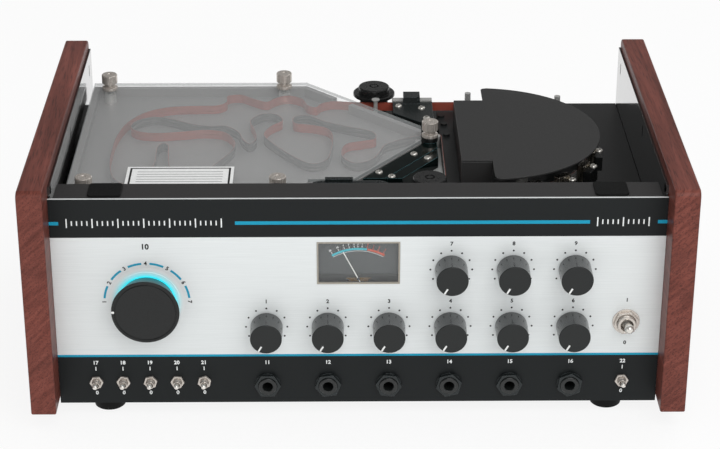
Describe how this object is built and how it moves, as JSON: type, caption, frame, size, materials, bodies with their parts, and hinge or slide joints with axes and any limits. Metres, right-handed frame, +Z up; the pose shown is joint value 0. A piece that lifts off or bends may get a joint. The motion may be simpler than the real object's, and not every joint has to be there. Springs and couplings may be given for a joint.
{
  "type": "tape echo unit",
  "caption": "Table-top tape echo unit: wooden cheeks, steel chassis, faceplate with knobs, switches, jacks and a meter, and an open deck with a tape tank and heads.",
  "frame": {"origin": "on the table under the middle of the unit's box", "axes": "+X to the unit's right as its user faces it, +Y to its back, +Z up"},
  "size_m": [0.416, 0.27, 0.168],
  "materials": {
    "left_cheek": "mahogany stain under satin lacquer",
    "right_cheek": "mahogany stain under satin lacquer",
    "chassis_tray": "satin black powder coat",
    "front_bracket": "matte dark grey powder coat",
    "front_panel": "silver anodised with black and teal print",
    "deck_plate": "satin black paint",
    "lid_pads": "matte black rubber",
    "feet": "matte black rubber",
    "tank_base": "bead blasted and clear anodised",
    "tank_cover": "clear cast acrylic",
    "deck_posts": "bright nickel plate",
    "thumb_nuts": "bright nickel plate",
    "tape_loop": "polyester tape with brown oxide",
    "rail_plate": "brushed",
    "tank_rails": "black machined plastic",
    "tape_guides": "black machined plastic",
    "head_base": "satin black paint",
    "tape_heads": "ground head faces in dark clamps",
    "head_shield": "matte dark grey powder coat",
    "deck_screws": "zinc plated",
    "capstan_bearing": "turned brass",
    "motor": "zinc plated can",
    "drive_belt": "flat ground rubber belt",
    "pot_bodies": "zinc plated cans",
    "jack_sockets": "black moulded nylon",
    "mode_switch": "moulded switch wafers",
    "mode_halo": "light guide, cyan",
    "meter_case": "black moulded case",
    "meter_dial": "printed dial card",
    "meter_window": "clear acrylic",
    "toggle_bodies": "moulded switch bodies",
    "toggle_nuts": "bright nickel plate",
    "power_switch": "black phenolic",
    "power_inlet": "black phenolic",
    "reverb_tank": "folded pan with springs",
    "transformer": "wound toroid in yellow tape",
    "main_board": "green solder mask",
    "knob_volume": "satin charcoal plastic",
    "knob_rate": "satin charcoal plastic",
    "knob_depth": "satin charcoal plastic",
    "knob_reverb": "satin charcoal plastic",
    "knob_speed": "satin charcoal plastic",
    "knob_echo": "satin charcoal plastic",
    "knob_bass": "satin charcoal plastic",
    "knob_treble": "satin charcoal plastic",
    "knob_feedback": "satin charcoal plastic",
    "mode_knob": "satin black plastic",
    "lever_direct": "nickel plate",
    "lever_motor": "nickel plate",
    "lever_sound": "nickel plate",
    "lever_echo": "nickel plate",
    "lever_chorus": "nickel plate",
    "lever_level": "nickel plate",
    "lever_power": "bright nickel plate",
    "meter_needle": "white paint",
    "rear_roller": "black acetal",
    "pinch_roller": "black rubber under a black cap",
    "pinch_arm": "zinc plated",
    "capstan": "ground steel",
    "motor_pulley": "turned brass"
  },
  "bodies": {
    "cabinet": {"left_cheek": "left_cheek", "right_cheek": "right_cheek", "chassis_tray": "chassis_tray", "front_bracket": "front_bracket", "front_panel": "front_panel", "deck_plate": "deck_plate", "lid_pads": "lid_pads", "feet": "feet", "tank_base": "tank_base", "tank_cover": "tank_cover", "deck_posts": "deck_posts", "thumb_nuts": "thumb_nuts", "tape_loop": "tape_loop", "rail_plate": "rail_plate", "tank_rails": "tank_rails", "tape_guides": "tape_guides", "head_base": "head_base", "tape_heads": "tape_heads", "head_shield": "head_shield", "deck_screws": "deck_screws", "capstan_bearing": "capstan_bearing", "motor": "motor", "drive_belt": "drive_belt", "pot_bodies": "pot_bodies", "jack_sockets": "jack_sockets", "mode_switch": "mode_switch", "mode_halo": "mode_halo", "meter_case": "meter_case", "meter_dial": "meter_dial", "meter_window": "meter_window", "toggle_bodies": "toggle_bodies", "toggle_nuts": "toggle_nuts", "power_switch": "power_switch", "power_inlet": "power_inlet", "reverb_tank": "reverb_tank", "transformer": "transformer", "main_board": "main_board"},
    "knob_volume": {"knob_volume": "knob_volume"},
    "knob_rate": {"knob_rate": "knob_rate"},
    "knob_depth": {"knob_depth": "knob_depth"},
    "knob_reverb": {"knob_reverb": "knob_reverb"},
    "knob_speed": {"knob_speed": "knob_speed"},
    "knob_echo": {"knob_echo": "knob_echo"},
    "knob_bass": {"knob_bass": "knob_bass"},
    "knob_treble": {"knob_treble": "knob_treble"},
    "knob_feedback": {"knob_feedback": "knob_feedback"},
    "mode_knob": {"mode_knob": "mode_knob"},
    "lever_direct": {"lever_direct": "lever_direct"},
    "lever_motor": {"lever_motor": "lever_motor"},
    "lever_sound": {"lever_sound": "lever_sound"},
    "lever_echo": {"lever_echo": "lever_echo"},
    "lever_chorus": {"lever_chorus": "lever_chorus"},
    "lever_level": {"lever_level": "lever_level"},
    "lever_power": {"lever_power": "lever_power"},
    "meter_needle": {"meter_needle": "meter_needle"},
    "rear_roller": {"rear_roller": "rear_roller"},
    "pinch_roller": {"pinch_roller": "pinch_roller"},
    "pinch_arm": {"pinch_arm": "pinch_arm"},
    "capstan": {"capstan": "capstan"},
    "motor_pulley": {"motor_pulley": "motor_pulley"}
  },
  "joints": [
    {"name": "knob_volume_turn", "type": "hinge", "parent": "cabinet", "child": "knob_volume", "pos_m": [-0.0582, -0.1135, 0.0651], "axis": [0, 1, 0], "range_deg": [0, 300]},
    {"name": "knob_rate_turn", "type": "hinge", "parent": "cabinet", "child": "knob_rate", "pos_m": [-0.0194, -0.1135, 0.0651], "axis": [0, 1, 0], "range_deg": [0, 300]},
    {"name": "knob_depth_turn", "type": "hinge", "parent": "cabinet", "child": "knob_depth", "pos_m": [0.0194, -0.1135, 0.0651], "axis": [0, 1, 0], "range_deg": [0, 300]},
    {"name": "knob_reverb_turn", "type": "hinge", "parent": "cabinet", "child": "knob_reverb", "pos_m": [0.0582, -0.1135, 0.0651], "axis": [0, 1, 0], "range_deg": [0, 300]},
    {"name": "knob_speed_turn", "type": "hinge", "parent": "cabinet", "child": "knob_speed", "pos_m": [0.097, -0.1135, 0.0651], "axis": [0, 1, 0], "range_deg": [0, 300]},
    {"name": "knob_echo_turn", "type": "hinge", "parent": "cabinet", "child": "knob_echo", "pos_m": [0.1358, -0.1135, 0.0651], "axis": [0, 1, 0], "range_deg": [0, 300]},
    {"name": "knob_bass_turn", "type": "hinge", "parent": "cabinet", "child": "knob_bass", "pos_m": [0.0582, -0.1135, 0.1052], "axis": [0, 1, 0], "range_deg": [0, 300]},
    {"name": "knob_treble_turn", "type": "hinge", "parent": "cabinet", "child": "knob_treble", "pos_m": [0.097, -0.1135, 0.1052], "axis": [0, 1, 0], "range_deg": [0, 300]},
    {"name": "knob_feedback_turn", "type": "hinge", "parent": "cabinet", "child": "knob_feedback", "pos_m": [0.1358, -0.1135, 0.1052], "axis": [0, 1, 0], "range_deg": [0, 300]},
    {"name": "mode_knob_turn", "type": "hinge", "parent": "cabinet", "child": "mode_knob", "pos_m": [-0.1332, -0.1135, 0.0833], "axis": [0, 1, 0], "range_deg": [0, 180]},
    {"name": "lever_direct_flip", "type": "hinge", "parent": "cabinet", "child": "lever_direct", "pos_m": [-0.168, -0.1159, 0.0256], "axis": [1, 0, 0], "range_deg": [0, 25]},
    {"name": "lever_motor_flip", "type": "hinge", "parent": "cabinet", "child": "lever_motor", "pos_m": [-0.1507, -0.1159, 0.0256], "axis": [1, 0, 0], "range_deg": [0, 25]},
    {"name": "lever_sound_flip", "type": "hinge", "parent": "cabinet", "child": "lever_sound", "pos_m": [-0.1334, -0.1159, 0.0256], "axis": [1, 0, 0], "range_deg": [0, 25]},
    {"name": "lever_echo_flip", "type": "hinge", "parent": "cabinet", "child": "lever_echo", "pos_m": [-0.1161, -0.1159, 0.0256], "axis": [1, 0, 0], "range_deg": [0, 25]},
    {"name": "lever_chorus_flip", "type": "hinge", "parent": "cabinet", "child": "lever_chorus", "pos_m": [-0.0988, -0.1159, 0.0256], "axis": [1, 0, 0], "range_deg": [0, 25]},
    {"name": "lever_level_flip", "type": "hinge", "parent": "cabinet", "child": "lever_level", "pos_m": [0.1693, -0.1159, 0.0256], "axis": [1, 0, 0], "range_deg": [0, 25]},
    {"name": "lever_power_flip", "type": "hinge", "parent": "cabinet", "child": "lever_power", "pos_m": [0.1699, -0.116, 0.0681], "axis": [1, 0, 0], "range_deg": [0, 25]},
    {"name": "needle_swing", "type": "hinge", "parent": "cabinet", "child": "meter_needle", "pos_m": [0, -0.1089, 0.0973], "axis": [0, 1, 0], "range_deg": [0, 54], "stiffness_Nm_per_rad": 0.0002},
    {"name": "capstan_spin", "type": "hinge", "parent": "cabinet", "child": "capstan", "pos_m": [0.0621, -0.058, 0.1], "axis": [0, 0, 1], "continuous": true},
    {"name": "motor_spin", "type": "hinge", "parent": "cabinet", "child": "motor_pulley", "pos_m": [0.12, -0.045, 0.08], "axis": [0, 0, 1], "continuous": true},
    {"name": "rear_roller_spin", "type": "hinge", "parent": "cabinet", "child": "rear_roller", "pos_m": [0.0131, 0.099, 0.135], "axis": [0, 0, 1], "continuous": true},
    {"name": "pinch_arm_swing", "type": "hinge", "parent": "cabinet", "child": "pinch_arm", "pos_m": [0.0465, -0.081, 0.123], "axis": [0, 0, 1], "range_deg": [0, 10]},
    {"name": "pinch_roller_spin", "type": "hinge", "parent": "pinch_arm", "child": "pinch_roller", "pos_m": [0.0465, -0.058, 0.134], "axis": [0, 0, 1], "continuous": true}
  ],
  "couplings": [
    {"joint": "motor_spin", "follows": "capstan_spin", "ratio": 5},
    {"joint": "rear_roller_spin", "follows": "capstan_spin", "ratio": -0.404},
    {"joint": "pinch_roller_spin", "follows": "capstan_spin", "ratio": -0.3774}
  ]
}
